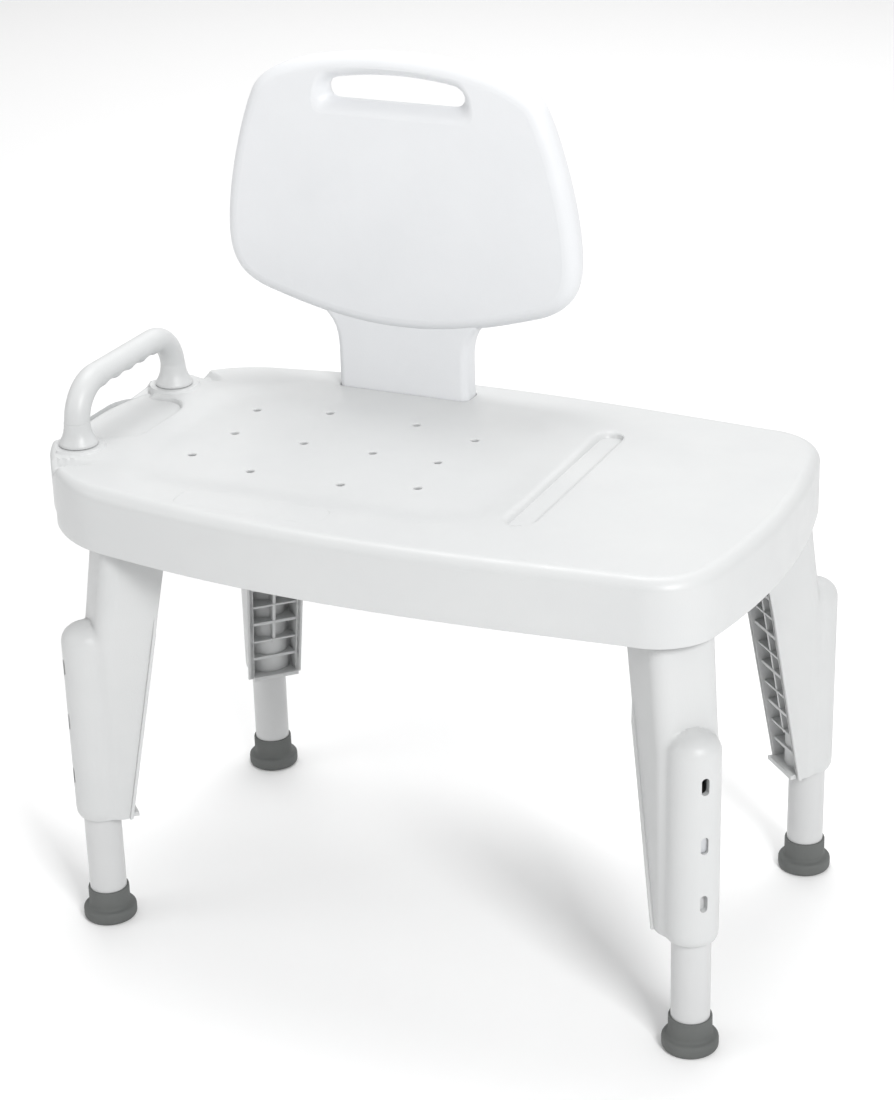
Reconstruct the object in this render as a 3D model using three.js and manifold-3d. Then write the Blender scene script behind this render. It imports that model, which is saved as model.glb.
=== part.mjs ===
// Bath transfer bench: moulded seat, lift-out backrest, grab handle, four height-adjustable legs.
// Millimetres, +Z up. X runs along the seat, Y from front to back, Z = 0 is the floor.
import * as THREE from 'three';
import { mergeVertices } from 'three/addons/utils/BufferGeometryUtils.js';
import Module from 'manifold-3d';

const wasm = await Module();
wasm.setup();

// ---- driving dimensions (mm) ----
const GAP = 0.3;               // clearance between separate pieces
const FEET_OFFSET = 32.5;      // feet centre, right of the middle of the bench's box
const FOOT_X = 291.2;          // leg axis, from the feet centre
const FOOT_Y = 165;
const SEAT_TOP = 442;
const SEAT_BOTTOM = 381.6;
const PLATFORM_BOTTOM = 395;   // lower edge of the handle end, which stands proud of the skirt
const SEAT_EDGE_R = 12;
const DECK = 5;                // seat deck thickness
const WALL = 4.5;              // skirt thickness
const SEAT_LEFT = -381;
const SEAT_RIGHT = 316;
const CORNER_X = 244.5;
const CORNER_R = 58;
const CORNER_TURN = 0.21;
const COLUMN_R = 23.2;         // tube housing of a leg
const COLUMN_BOTTOM = 111;
const COLUMN_DOME = 286;
const BORE_R = 17.5;
const BORE_TOP = 290;
const LEG_TOP = 419;
const TUBE_R = 17.2;
const TUBE_WALL = 2;
const TUBE_TOP = 222;
const TIP_R = 25;
const TIP_FLOOR = 6;
const HOLE_Z = [153.5, 209, 264.5];
const LOCK_Z = 209;      // the hole that the snap button stands in
const BUTTON_PROUD = 3.4;      // how far the button stands out of the tube
const HANDLE_X = -333;
const HANDLE_Y = 87;
const HANDLE_R = 11.8;
const HANDLE_Z = 498;
const HANDLE_BEND = 36;
const PAD_TOP = 444;
const STEM_X = -116;           // middle of the backrest
const STEM_W = 136;
const STEM_Y0 = 145;
const STEM_T = 27;
const STEM_BOTTOM = 389;
const PANEL_Y0 = 141;          // front of the panel, a little proud of the stem
const BACKREST_WALL = 3.2;
const PANEL_W = 181;
const PANEL_BOTTOM = 505;
const PANEL_TOP = 768;

// ---- materials ----
const white = new THREE.MeshStandardMaterial({ color: 0xf2f3f3, roughness: 0.5, metalness: 0 });
const rubber = new THREE.MeshStandardMaterial({ color: 0x6b706e, roughness: 0.8, metalness: 0 });
const steel = new THREE.MeshStandardMaterial({ color: 0xb9bcc0, roughness: 0.35, metalness: 0.9 });

const bench = new THREE.Group();
bench.name = 'bath_transfer_bench';

// ---- solid helpers ----
function toSolid(geometry) {
  const plain = new THREE.BufferGeometry();
  plain.setAttribute('position', geometry.getAttribute('position'));
  if (geometry.index) plain.setIndex(geometry.index);
  const welded = mergeVertices(plain, 1e-4);
  return new wasm.Manifold(new wasm.Mesh({
    numProp: 3,
    vertProperties: new Float32Array(welded.attributes.position.array),
    triVerts: new Uint32Array(welded.index.array),
  }));
}

function toGeometry(solid) {
  const mesh = solid.getMesh();
  const geometry = new THREE.BufferGeometry();
  geometry.setAttribute('position', new THREE.BufferAttribute(new Float32Array(mesh.vertProperties), 3));
  geometry.setIndex(new THREE.BufferAttribute(new Uint32Array(mesh.triVerts), 1));
  return geometry;
}

function addPiece(name, solid, material) {
  const geometry = toGeometry(solid);
  geometry.translate(FEET_OFFSET, 0, 0);
  geometry.computeVertexNormals();
  const mesh = new THREE.Mesh(geometry, material);
  mesh.name = name;
  bench.add(mesh);
}

function union(solids) {
  return solids.reduce((a, b) => a.add(b));
}

// A closed skin through rings of equal point count, each ring an array of Vector3.
function loft(rings) {
  const count = rings[0].length;
  const positions = [];
  const index = [];
  rings.forEach((ring) => ring.forEach((p) => positions.push(p.x, p.y, p.z)));
  for (let r = 0; r < rings.length - 1; r += 1) {
    for (let i = 0; i < count; i += 1) {
      const a = r * count + i;
      const b = r * count + (i + 1) % count;
      index.push(a, b, b + count, a, b + count, a + count);
    }
  }
  const capMiddles = [rings[0], rings[rings.length - 1]].map((ring) => (
    ring.reduce((sum, p) => sum.add(p), new THREE.Vector3()).divideScalar(count)
  ));
  capMiddles.forEach((p) => positions.push(p.x, p.y, p.z));
  const first = rings.length * count;
  const last = (rings.length - 1) * count;
  for (let i = 0; i < count; i += 1) {
    const j = (i + 1) % count;
    index.push(first, j, i, first + 1, last + i, last + j);
  }
  const geometry = new THREE.BufferGeometry();
  geometry.setAttribute('position', new THREE.Float32BufferAttribute(positions, 3));
  geometry.setIndex(index);
  return toSolid(geometry);
}

function box(x0, x1, y0, y1, z0, z1) {
  const geometry = new THREE.BoxGeometry(x1 - x0, y1 - y0, z1 - z0);
  geometry.translate((x0 + x1) / 2, (y0 + y1) / 2, (z0 + z1) / 2);
  return toSolid(geometry);
}

function cylinder(x, y, z0, z1, radius, segments) {
  const geometry = new THREE.CylinderGeometry(radius, radius, z1 - z0, segments);
  geometry.rotateX(Math.PI / 2);
  geometry.translate(x, y, (z0 + z1) / 2);
  return toSolid(geometry);
}

// A turned piece about a vertical axis, from [radius, z] points that start and end on the axis.
function turned(x, y, profile, segments) {
  const points = profile.map(([r, z]) => new THREE.Vector2(r, z));
  const geometry = new THREE.LatheGeometry(points, segments);
  geometry.rotateX(Math.PI / 2);
  geometry.translate(x, y, 0);
  return toSolid(geometry);
}

// Corner points of a rounded rectangle, anticlockwise, as [x, y].
function roundedRect(x0, x1, y0, y1, radius, steps) {
  const points = [];
  const corners = [[x1, y1, 0], [x0, y1, 1], [x0, y0, 2], [x1, y0, 3]];
  corners.forEach(([cx, cy, quarter]) => {
    const mx = cx === x1 ? cx - radius : cx + radius;
    const my = cy === y1 ? cy - radius : cy + radius;
    for (let i = 0; i <= steps; i += 1) {
      const a = (quarter + i / steps) * Math.PI / 2;
      points.push([mx + radius * Math.cos(a), my + radius * Math.sin(a)]);
    }
  });
  return points;
}

function prism(points, z0, z1) {
  return loft([z0, z1].map((z) => points.map(([x, y]) => new THREE.Vector3(x, y, z))));
}

// ---- seat ----
// Half width of the seat at x, with a soft corner at the right and a long taper at the left.
function seatHalfWidth(x) {
  const t = x / 300;
  return 200.8 - 3.4 * t - 29.5 * t * t + 9.7 * t ** 3 + 4 * t ** 4;
}

// Outline of the seat, drawn in by an inset; tuck draws in the left end only.
function seatOutline(inset, tuck) {
  const half = [];
  const right = SEAT_RIGHT - inset;
  const left = SEAT_LEFT + inset + tuck;
  const cy = seatHalfWidth(CORNER_X) - CORNER_R;
  const r = CORNER_R - inset;
  const startX = CORNER_X + r * Math.cos(CORNER_TURN);
  const startY = cy + r * Math.sin(CORNER_TURN);
  for (let i = 0; i <= 2; i += 1) half.push([right - (right - startX) * (i / 3) ** 2, startY * i / 3]);
  for (let i = 0; i <= 6; i += 1) {
    const a = CORNER_TURN + (i / 6) * (Math.PI / 2 - CORNER_TURN);
    half.push([CORNER_X + r * Math.cos(a), cy + r * Math.sin(a)]);
  }
  for (let i = 1; i <= 9; i += 1) {
    const x = 240 - i * 56;
    half.push([x, seatHalfWidth(x) - inset]);
  }
  const joinX = -264;
  const joinY = seatHalfWidth(joinX) - inset;
  const taper = new THREE.CubicBezierCurve(
    new THREE.Vector2(joinX, joinY), new THREE.Vector2(joinX - 68, joinY - 13.6),
    new THREE.Vector2(left, 79), new THREE.Vector2(left, 0),
  );
  taper.getPoints(9).slice(1).forEach((p) => half.push([p.x, p.y]));
  const other = half.slice(1, -1).reverse().map(([x, y]) => [x, -y]);
  return half.concat(other);
}

function seatRing(inset, tuck, z) {
  return seatOutline(inset, tuck).map(([x, y]) => new THREE.Vector3(x, y, z));
}

function seatBody() {
  const rings = [seatRing(0, 0, PLATFORM_BOTTOM)];
  const steps = 3;
  for (let i = 0; i <= steps; i += 1) {
    const a = (i / steps) * Math.PI / 2;
    const inset = SEAT_EDGE_R * (1 - Math.cos(a));
    rings.push(seatRing(inset, 0, SEAT_TOP - SEAT_EDGE_R * (1 - Math.sin(a))));
  }
  const lower = loft([seatRing(0, 6, SEAT_BOTTOM), seatRing(0, 6, PLATFORM_BOTTOM + 2)]);
  return loft(rings).add(lower);
}

function seatHollow() {
  const steps = 2;
  const rings = [seatRing(WALL, 6, SEAT_BOTTOM - 1)];
  for (let i = 0; i <= steps; i += 1) {
    const a = (i / steps) * Math.PI / 2;
    const r = SEAT_EDGE_R - DECK;
    const inset = WALL + r * (1 - Math.cos(a));
    rings.push(seatRing(inset, 6, SEAT_TOP - DECK - r * (1 - Math.sin(a))));
  }
  return loft(rings);
}

// The seat without its outer skin: what is moulded underneath ends inside the deck and skirt.
function seatCore() {
  return loft([seatRing(2, 6, SEAT_BOTTOM + 1.2), seatRing(2, 6, 430), seatRing(9, 6, SEAT_TOP - 2)]);
}

// Shallow dish of the sitting area.
function seatDish() {
  const ring = (grow, z) => (
    roundedRect(-268 - grow, 72 + grow, -112 - grow, 112 + grow, 60 + grow, 3)
      .map(([x, y]) => new THREE.Vector3(x, y, z))
  );
  return loft([ring(0, SEAT_TOP - 3), ring(28, SEAT_TOP), ring(28, SEAT_TOP + 5)]);
}

const TRAY = [-369, -296, -58, 58];

function trayRing(grow, radius, z) {
  return roundedRect(TRAY[0] - grow, TRAY[1] + grow, TRAY[2] - grow, TRAY[3] + grow, radius, 3)
    .map(([x, y]) => new THREE.Vector3(x, y, z));
}

function trayPocket() {
  return loft([trayRing(-6, 24, 412), trayRing(0, 30, 420), trayRing(0, 30, 460)]);
}

// The outer rim of the tray dips between the two posts of the handle.
function rimDip() {
  const radius = 224;
  const geometry = new THREE.CylinderGeometry(radius, radius, 60, 96);
  geometry.rotateZ(Math.PI / 2);
  geometry.translate(-375, 0, SEAT_TOP - 18 + radius);
  return toSolid(geometry);
}

// Channel for a shower hose, over the corner of the seat beside each post.
function hoseNotch(side, radius) {
  const geometry = new THREE.CylinderGeometry(radius, radius, 90, 16);
  const axis = new THREE.Vector3(62, -26 * side, 12).normalize();
  geometry.applyQuaternion(new THREE.Quaternion().setFromUnitVectors(new THREE.Vector3(0, 1, 0), axis));
  geometry.translate(-334, 131 * side, 440);
  return toSolid(geometry);
}

function drainHoles() {
  const spots = [[-229, 62], [-160, 79], [-70, 79], [-3, 62]];
  const middle = [-219, -147, -77, -12];
  const holes = [];
  spots.forEach(([x, y]) => [-y, y].forEach((yy) => holes.push([x, yy])));
  middle.forEach((x) => holes.push([x, 0]));
  return union(holes.map(([x, y]) => cylinder(x, y, 420, 450, 3.8, 8)));
}

const CURTAIN = [102, 125, -112, 117];

function curtainGroove(grow, z0, z1) {
  const [x0, x1, y0, y1] = CURTAIN;
  return prism(roundedRect(x0 - grow, x1 + grow, y0 - grow, y1 + grow, 11 + grow, 3), z0, z1);
}

function stemSlot(side, grow, z0, z1) {
  const y0 = side > 0 ? STEM_Y0 : -STEM_Y0 - STEM_T;
  const x0 = STEM_X - STEM_W / 2;
  const points = roundedRect(x0 - grow, x0 + STEM_W + grow, y0 - grow, y0 + STEM_T + grow, 7 + grow, 2);
  return prism(points, z0, z1);
}

// Leg frame: u runs from the leg axis towards the middle of the bench, v across it.
function legPoint(sx, sy, u, v) {
  const k = Math.SQRT1_2;
  return [sx * (FOOT_X - u * k - v * k), sy * (FOOT_Y - u * k + v * k)];
}

function legRing(sx, sy, points, z) {
  const ring = points.map(([u, v]) => {
    const [x, y] = legPoint(sx, sy, u, v);
    return new THREE.Vector3(x, y, z);
  });
  return sx * sy > 0 ? ring.reverse() : ring;
}

function legPrism(sx, sy, points, z0, z1) {
  const rings = [legRing(sx, sy, points, z0), legRing(sx, sy, points, z1)];
  return loft(rings);
}

const LEG_HALF = 30;
const LEG_IN = 15;
const LEG_OUT = 73;
const SCREW_U = 50;
const corners = [[1, -1, 'front_right'], [-1, -1, 'front_left'], [1, 1, 'back_right'], [-1, 1, 'back_left']];

function legSocket(sx, sy) {
  const c = GAP + 0.1;
  const t = 3.5;
  const outer = roundedRect(LEG_IN - c - t, LEG_OUT + c + t, -LEG_HALF - c - t, LEG_HALF + c + t, 8, 2);
  const inner = legSection(LEG_TOP, -c, c);
  const frame = legPrism(sx, sy, outer, 398, SEAT_TOP - DECK + 1)
    .subtract(legPrism(sx, sy, inner, 390, SEAT_TOP - DECK - 0.5));
  const [x, y] = legPoint(sx, sy, SCREW_U, 0);
  return frame.add(cylinder(x, y, LEG_TOP + GAP, SEAT_TOP - DECK + 1, 7, 10));
}

function seatRibs() {
  const top = SEAT_TOP - DECK + 1.5;
  const ribs = [
    box(-293, 312, -36.5, -33.5, 405, top),
    box(-293, 312, 33.5, 36.5, 405, top),
    box(-196, 196, -106.5, -103.5, 405, top),
    box(-196, 196, 103.5, 106.5, 405, top),
  ];
  [-190, -112, -40, 50, 190].forEach((x) => ribs.push(box(x - 1.5, x + 1.5, -205, 205, 405, top)));
  return union(ribs);
}

function buildSeat() {
  const top = SEAT_TOP + 10;
  let seat = seatBody().subtract(seatHollow());
  const under = [seatRibs()];
  under.push(curtainGroove(3.5, SEAT_TOP - 18, SEAT_TOP - DECK + 1));
  [-1, 1].forEach((side) => {
    under.push(hoseNotch(side, 12));
    under.push(stemSlot(side, 4.2, SEAT_BOTTOM + 1.4, SEAT_TOP - DECK + 1));
    under.push(cylinder(HANDLE_X, side * HANDLE_Y, 402, SEAT_TOP - DECK + 1, 25, 20));
  });
  under.push(loft([trayRing(4, 34, 408), trayRing(4, 34, SEAT_TOP - DECK + 1)]));
  seat = seat.add(union(under).intersect(seatCore()));
  seat = seat.subtract(seatDish());
  seat = seat.subtract(rimDip().subtract(box(-344, 0, -300, 300, 380, 1000)));
  seat = seat.subtract(trayPocket());
  [-1, 1].forEach((side) => {
    const y = side * HANDLE_Y;
    seat = seat.add(cylinder(HANDLE_X, y, SEAT_TOP - 40.5, PAD_TOP, 25.2, 20));
    seat = seat.subtract(cylinder(HANDLE_X, y, 380, PAD_TOP - 6, 20, 20));
    seat = seat.subtract(cylinder(HANDLE_X, y, 380, top, 3.6, 10));
    seat = seat.subtract(hoseNotch(side, 8.5));
    seat = seat.subtract(stemSlot(side, GAP, STEM_BOTTOM - GAP, top));
  });
  corners.forEach(([sx, sy]) => {
    seat = seat.add(legSocket(sx, sy));
    const [x, y] = legPoint(sx, sy, SCREW_U, 0);
    seat = seat.subtract(cylinder(x, y, 400, 434, 2.8, 8));
  });
  seat = seat.subtract(curtainGroove(0, SEAT_TOP - 13, top));
  seat = seat.subtract(drainHoles());
  const coverLip = [STEM_X - STEM_W / 2 - 3, STEM_X + STEM_W / 2 + 3, -STEM_Y0 - STEM_T - 3, -STEM_Y0 + 3];
  seat = seat.subtract(prism(roundedRect(...coverLip, 9, 3), SEAT_TOP - 2.3, top));
  addPiece('seat', seat, white);
}

// ---- cover of the unused backrest socket, and the backrest ----
function buildSocketCover() {
  const x0 = STEM_X - STEM_W / 2;
  const x1 = STEM_X + STEM_W / 2;
  const y0 = -STEM_Y0 - STEM_T;
  const lid = roundedRect(x0 - 2.7, x1 + 2.7, y0 - 2.7, -STEM_Y0 + 2.7, 8.7, 3);
  const plug = roundedRect(x0 + 1, x1 - 1, y0 + 1, -STEM_Y0 - 1, 6, 2);
  const hollow = roundedRect(x0 + 3.5, x1 - 3.5, y0 + 3.5, -STEM_Y0 - 3.5, 4, 2);
  const cover = prism(lid, SEAT_TOP - 2, SEAT_TOP)
    .add(prism(plug, SEAT_TOP - 14, SEAT_TOP - 1))
    .subtract(prism(hollow, SEAT_TOP - 20, SEAT_TOP - 2.2));
  addPiece('front_socket_cover', cover, white);
}

// Outline of the backrest panel in its own plane, drawn in by an inset.
function panelOutline(inset) {
  const w = PANEL_W - inset;
  const top = PANEL_TOP - inset;
  const bottom = PANEL_BOTTOM + inset;
  const v = (x, z) => new THREE.Vector2(x, z);
  const bend = (...points) => new THREE.CubicBezierCurve(...points);
  const parts = [
    bend(v(0, bottom), v(55, bottom), v(100, bottom + 13), v(w - 44, bottom + 24)),
    bend(v(w - 44, bottom + 24), v(w - 14, bottom + 33), v(w, bottom + 48), v(w, bottom + 82)),
    bend(v(w, bottom + 82), v(w, bottom + 130), v(w - 22, top - 62), v(w - 34, top - 40)),
    bend(v(w - 34, top - 40), v(w - 48, top - 16), v(78, top), v(0, top)),
  ];
  const counts = [4, 5, 4, 7];
  const half = [v(0, bottom)];
  parts.forEach((part, i) => half.push(...part.getPoints(counts[i]).slice(1)));
  const other = half.slice(1, -1).reverse().map((p) => v(-p.x, p.y));
  return half.concat(other);
}

function panelRing(inset, y) {
  return panelOutline(inset).map((p) => new THREE.Vector3(STEM_X + p.x, y, p.y));
}

// Hand slot: straight lower edge, arched upper edge, edges opened out towards both faces.
function slotRing(grow, y) {
  const points = [];
  const x1 = 69 + grow;
  const z0 = 722 - grow;
  const shape = new THREE.Shape();
  shape.moveTo(-x1 + 12, z0);
  shape.lineTo(x1 - 12, z0);
  shape.quadraticCurveTo(x1, z0, x1, z0 + 11);
  shape.quadraticCurveTo(x1, z0 + 18 + grow, x1 - 12, z0 + 20 + 1.6 * grow);
  shape.quadraticCurveTo(0, z0 + 29 + 2 * grow, -x1 + 12, z0 + 20 + 1.6 * grow);
  shape.quadraticCurveTo(-x1, z0 + 18 + grow, -x1, z0 + 11);
  shape.quadraticCurveTo(-x1, z0, -x1 + 12, z0);
  shape.getPoints(4).slice(0, -1).forEach((p) => points.push(new THREE.Vector3(STEM_X + p.x, y, p.y)));
  return points;
}

// The stem under the panel, flared where it meets the panel's lower edge.
function stemLoft(inset, z0) {
  const flare = [[z0, 0], [484, 0], [496, 2], [506, 6], [514, 13], [524, 13]];
  return loft(flare.map(([z, grow]) => {
    const half = STEM_W / 2 + grow - inset;
    const y0 = STEM_Y0 + inset;
    const y1 = STEM_Y0 + STEM_T - inset;
    return roundedRect(STEM_X - half, STEM_X + half, y0, y1, 8 - inset, 2)
      .map(([x, y]) => new THREE.Vector3(x, y, z));
  }));
}

function buildBackrest() {
  const front = PANEL_Y0;
  const back = STEM_Y0 + STEM_T;
  const r = 11;
  const steps = 3;
  const rings = [];
  for (let i = 0; i <= steps; i += 1) {
    const a = (i / steps) * Math.PI / 2;
    rings.push(panelRing(r * (1 - Math.sin(a)), front + r * (1 - Math.cos(a))));
  }
  for (let i = steps; i >= 0; i -= 1) {
    const a = (i / steps) * Math.PI / 2;
    rings.push(panelRing(r * (1 - Math.sin(a)), back - r * (1 - Math.cos(a))));
  }
  const slot = [
    slotRing(13, front - 1), slotRing(9, front + 2), slotRing(2.5, front + 8), slotRing(0, front + 13),
    slotRing(0, back - 13), slotRing(2.5, back - 8), slotRing(9, back - 2), slotRing(13, back + 1),
  ];
  const sleeve = [
    slotRing(17, front - 1), slotRing(12.5, front + 5), slotRing(3.5, front + 13),
    slotRing(3.5, back - 13), slotRing(12.5, back - 5), slotRing(17, back + 1),
  ];
  const t = BACKREST_WALL;
  const hollow = outlineLoft([
    panelRing(9, front + t), panelRing(t, front + 9), panelRing(t, back - 9), panelRing(9, back - t),
  ]).add(stemLoft(t, STEM_BOTTOM - 5)).subtract(outlineLoft(sleeve));
  const solid = outlineLoft(rings).add(stemLoft(0, STEM_BOTTOM));
  addPiece('backrest', solid.subtract(hollow).subtract(outlineLoft(slot)), white);
}

// Like loft, for rings in planes of constant y whose outline is not convex.
function outlineLoft(rings) {
  const count = rings[0].length;
  const flat = rings[0].map((p) => new THREE.Vector2(p.x, p.z));
  const caps = THREE.ShapeUtils.triangulateShape(flat, []);
  const positions = [];
  rings.forEach((ring) => ring.forEach((p) => positions.push(p.x, p.y, p.z)));
  const index = [];
  for (let r = 0; r < rings.length - 1; r += 1) {
    for (let i = 0; i < count; i += 1) {
      const a = r * count + i;
      const b = r * count + (i + 1) % count;
      index.push(a, b + count, b, a, a + count, b + count);
    }
  }
  const last = (rings.length - 1) * count;
  caps.forEach(([a, b, c]) => index.push(a, b, c, last + a, last + c, last + b));
  const geometry = new THREE.BufferGeometry();
  geometry.setAttribute('position', new THREE.Float32BufferAttribute(positions, 3));
  geometry.setIndex(index);
  return toSolid(geometry);
}

// ---- grab handle ----
// Middle line of the bar from post to post, as [y, z, angle of travel], with the arc at each end.
function handlePath() {
  const path = [];
  const steps = 6;
  path.push([-HANDLE_Y, PAD_TOP + 10, Math.PI / 2]);
  for (let i = 0; i <= steps; i += 1) {
    const a = (i / steps) * Math.PI / 2;
    path.push([
      -HANDLE_Y + HANDLE_BEND * (1 - Math.cos(a)),
      HANDLE_Z - HANDLE_BEND * (1 - Math.sin(a)),
      Math.PI / 2 - a,
    ]);
  }
  const bar = 20;
  const span = HANDLE_Y - HANDLE_BEND;
  for (let i = 1; i < bar; i += 1) path.push([-span + 2 * span * (i / bar), HANDLE_Z, 0]);
  for (let i = 0; i <= steps; i += 1) {
    const a = (i / steps) * Math.PI / 2;
    path.push([
      HANDLE_Y - HANDLE_BEND * (1 - Math.sin(a)),
      HANDLE_Z - HANDLE_BEND * (1 - Math.cos(a)),
      -a,
    ]);
  }
  path.push([HANDLE_Y, PAD_TOP + 10, -Math.PI / 2]);
  return path;
}

function handleRing([y, z, travel], radius, scallop) {
  const ring = [];
  const count = 14;
  for (let i = 0; i < count; i += 1) {
    const a = (i / count) * Math.PI * 2;
    const down = Math.max(0, -Math.sin(a));
    const r = radius - scallop * down ** 1.5;
    const across = r * Math.cos(a);
    const up = r * Math.sin(a);
    ring.push(new THREE.Vector3(
      HANDLE_X - across,
      y - up * Math.sin(travel),
      z + up * Math.cos(travel),
    ));
  }
  return ring;
}

function buildHandle() {
  const path = handlePath();
  const rings = path.map((station) => {
    const reach = Math.abs(station[0]) / 46;
    const wave = reach < 1 ? Math.abs(Math.sin(reach * Math.PI * 2)) : 0;
    return handleRing(station, HANDLE_R, 2.4 * wave);
  });
  const foot = (side) => turned(HANDLE_X, side * HANDLE_Y, [
    [0, PAD_TOP + GAP], [18, PAD_TOP + GAP], [18, PAD_TOP + 3], [14.5, PAD_TOP + 9],
    [12.4, PAD_TOP + 16], [0, PAD_TOP + 16],
  ], 20);
  let handle = loft(rings).add(foot(-1)).add(foot(1));
  [-1, 1].forEach((side) => {
    handle = handle.subtract(cylinder(HANDLE_X, side * HANDLE_Y, PAD_TOP - 5, 472, 3.3, 10));
  });
  addPiece('grab_handle', handle, white);
  [['front', -1], ['back', 1]].forEach(([place, side]) => {
    const y = side * HANDLE_Y;
    const under = PAD_TOP - 6 - GAP;
    const washer = turned(HANDLE_X, y, [
      [3.4, under - 1.5], [9, under - 1.5], [9, under], [3.4, under], [3.4, under - 1.5],
    ], 16);
    addPiece(`handle_washer_${place}`, washer, steel);
    const seatZ = under - 1.5 - GAP;
    const screw = turned(HANDLE_X, y, [
      [0, seatZ - 4.5], [4.5, seatZ - 4.5], [5.8, seatZ - 3], [5.8, seatZ], [3, seatZ], [3, 470], [0, 470],
    ], 10);
    addPiece(`handle_screw_${place}`, screw, steel);
  });
}

// ---- legs ----
// Distances from the leg axis to the outer face and the open inner edge of the shell at a height.
function legOuter(z) {
  if (z >= 381) return LEG_IN;
  if (z >= 305) return LEG_IN - 11 * (381 - z) / 76;
  return Math.max(0, 4 - 4 * (305 - z) / 20);
}

function legInner(z) {
  return LEG_OUT - 0.1845 * Math.max(0, 381 - z);
}

function legHalf(z) {
  if (z >= 381) return LEG_HALF;
  return LEG_HALF - 4.5 * (381 - z) / (381 - COLUMN_BOTTOM);
}

// Cross-section of the shell at a height: rounded outer corners, square inner ones.
function legSection(z, inset, openTo) {
  const u0 = legOuter(z) + inset;
  const u1 = legInner(z) + openTo;
  const half = legHalf(z) - inset;
  const r = 15 - inset;
  const points = [[u1, half]];
  for (let i = 0; i <= 3; i += 1) {
    const a = Math.PI / 2 + (i / 3) * Math.PI / 2;
    points.push([u0 + r + r * Math.cos(a), half - r + r * Math.sin(a)]);
  }
  for (let i = 0; i <= 3; i += 1) {
    const a = Math.PI + (i / 3) * Math.PI / 2;
    points.push([u0 + r + r * Math.cos(a), -half + r + r * Math.sin(a)]);
  }
  points.push([u1, -half]);
  return points;
}

function legLoft(sx, sy, levels, inset, openTo) {
  return loft(levels.map((z) => legRing(sx, sy, legSection(z, inset, openTo), z)));
}

// Prism of a plan shape that points out of the leg along -u: an upright slot with round ends.
function slotSolid(sx, sy, u0, u1, width, height, z) {
  const points = [];
  const r = width / 2;
  for (let i = 0; i <= 3; i += 1) {
    const a = (i / 3) * Math.PI;
    points.push([r * Math.cos(a), z + height / 2 - r + r * Math.sin(a)]);
  }
  for (let i = 0; i <= 3; i += 1) {
    const a = Math.PI + (i / 3) * Math.PI;
    points.push([r * Math.cos(a), z - height / 2 + r + r * Math.sin(a)]);
  }
  const rings = [u0, u1].map((u) => {
    const ring = points.map(([v, h]) => {
      const [x, y] = legPoint(sx, sy, u, v);
      return new THREE.Vector3(x, y, h);
    });
    return sx * sy > 0 ? ring.reverse() : ring;
  });
  return loft(rings);
}

function buildLeg(sx, sy, name) {
  const x = sx * FOOT_X;
  const y = sy * FOOT_Y;
  const levels = [COLUMN_BOTTOM, 285, 305, 381, LEG_TOP];
  const body = legLoft(sx, sy, levels, 0, 0);
  const cavityLevels = [COLUMN_BOTTOM + 4, 285, 305, 381, LEG_TOP - 4];
  let shell = body.subtract(legLoft(sx, sy, cavityLevels, 4, 20));
  const bars = [];
  for (let z = 132; z < 400; z += 42) {
    bars.push(legPrism(sx, sy, roundedRect(-5, 100, -40, 40, 1, 1), z, z + 3));
  }
  bars.push(legPrism(sx, sy, roundedRect(-5, 100, -1.5, 1.5, 0.5, 1), COLUMN_BOTTOM + 2, 385));
  shell = shell.add(union(bars).intersect(legLoft(sx, sy, levels, 2, -4)));
  const lip = [COLUMN_BOTTOM, 312].map((z) => {
    const half = legHalf(z) + 2.4;
    const u1 = legInner(z);
    const points = [[u1 - 3, -half], [u1, -half], [u1, half], [u1 - 3, half]];
    return legRing(sx, sy, points, z);
  });
  const lipHollow = [COLUMN_BOTTOM + 4, 330].map((z) => {
    const half = legHalf(z) - 4;
    const u1 = legInner(z);
    return legRing(sx, sy, [[u1 - 9, -half], [u1 + 9, -half], [u1 + 9, half], [u1 - 9, half]], z);
  });
  shell = shell.add(loft(lip).subtract(loft(lipHollow)));
  const foot = roundedRect(0, legInner(COLUMN_BOTTOM) + 7, -27.9, 27.9, 4, 2);
  shell = shell.add(legPrism(sx, sy, foot, COLUMN_BOTTOM, COLUMN_BOTTOM + 4));
  shell = shell.add(turned(x, y, [
    [0, COLUMN_BOTTOM], [COLUMN_R - 2.5, COLUMN_BOTTOM], [COLUMN_R, COLUMN_BOTTOM + 4],
    [COLUMN_R, COLUMN_DOME], [COLUMN_R - 3, 296], [COLUMN_R - 12, 304], [0, 305.5],
  ], 24));
  shell = shell.subtract(cylinder(x, y, COLUMN_BOTTOM - 5, BORE_TOP, BORE_R, 24));
  HOLE_Z.forEach((z) => {
    shell = shell.subtract(slotSolid(sx, sy, -30, -10, 7, 16, z));
  });
  const [px, py] = legPoint(sx, sy, SCREW_U, 0);
  shell = shell.subtract(cylinder(px, py, 405, 430, 2.9, 8));
  addPiece(`leg_${name}`, shell, white);
  const screw = turned(px, py, [
    [0, 410.5], [4, 410.5], [5.5, 412], [5.5, LEG_TOP - 4 - GAP], [2.5, LEG_TOP - 4 - GAP], [2.5, 433], [0, 433],
  ], 10);
  addPiece(`leg_screw_${name}`, screw, steel);
}

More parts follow.
